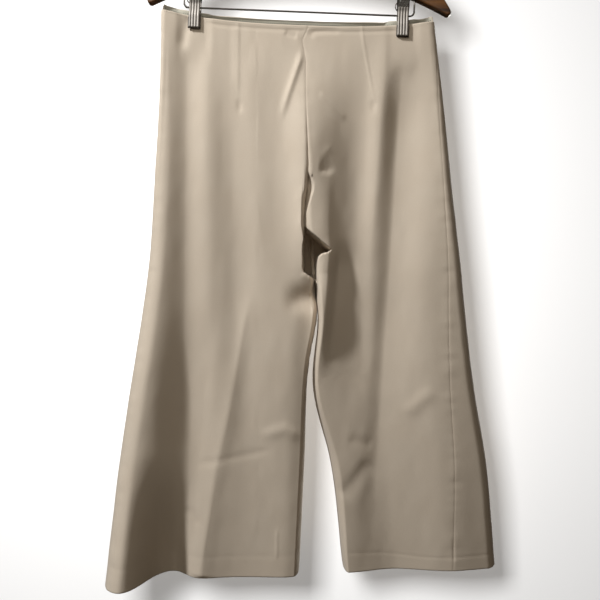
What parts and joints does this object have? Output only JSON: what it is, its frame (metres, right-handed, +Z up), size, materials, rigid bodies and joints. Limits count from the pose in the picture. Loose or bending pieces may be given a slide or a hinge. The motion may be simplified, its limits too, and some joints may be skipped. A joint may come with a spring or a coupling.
{
  "type": "culottes on a wooden clip hanger",
  "caption": "Wide-legged cropped trousers in plain cloth, hanging by the waist from the sliding clips of a wooden hanger.",
  "frame": {"origin": "inside of the top of the hanger's hook, where a rail carries it", "axes": "+Z up, -Y the side that faces the viewer, taken as the front, +X to the viewer's right, the wearer's left"},
  "size_m": [0.5686, 0.2017, 0.963],
  "materials": {
    "cloth": "champagne polyester crepe, soft sheen",
    "tape": "grey-green woven tape",
    "wood": "dark stain, varnished",
    "wire": "dark drawn wire",
    "chrome": "bright plate",
    "rubber": "matt"
  },
  "bodies": {
    "root": {"front_right": "cloth", "front_left": "cloth", "back_right": "cloth", "back_left": "cloth", "hem_right": "cloth", "hem_left": "cloth", "waist_tape_front": "tape", "waist_tape_back": "tape", "hanger_body": "wood", "hanger_hook": "chrome", "hanger_bar": "wire", "clip_right_front_jaw": "chrome", "clip_right_back_jaw": "chrome", "clip_right_barrel": "chrome", "clip_right_front_pad": "rubber", "clip_right_back_pad": "rubber", "clip_left_front_jaw": "chrome", "clip_left_back_jaw": "chrome", "clip_left_barrel": "chrome", "clip_left_front_pad": "rubber", "clip_left_back_pad": "rubber"}
  },
  "joints": []
}
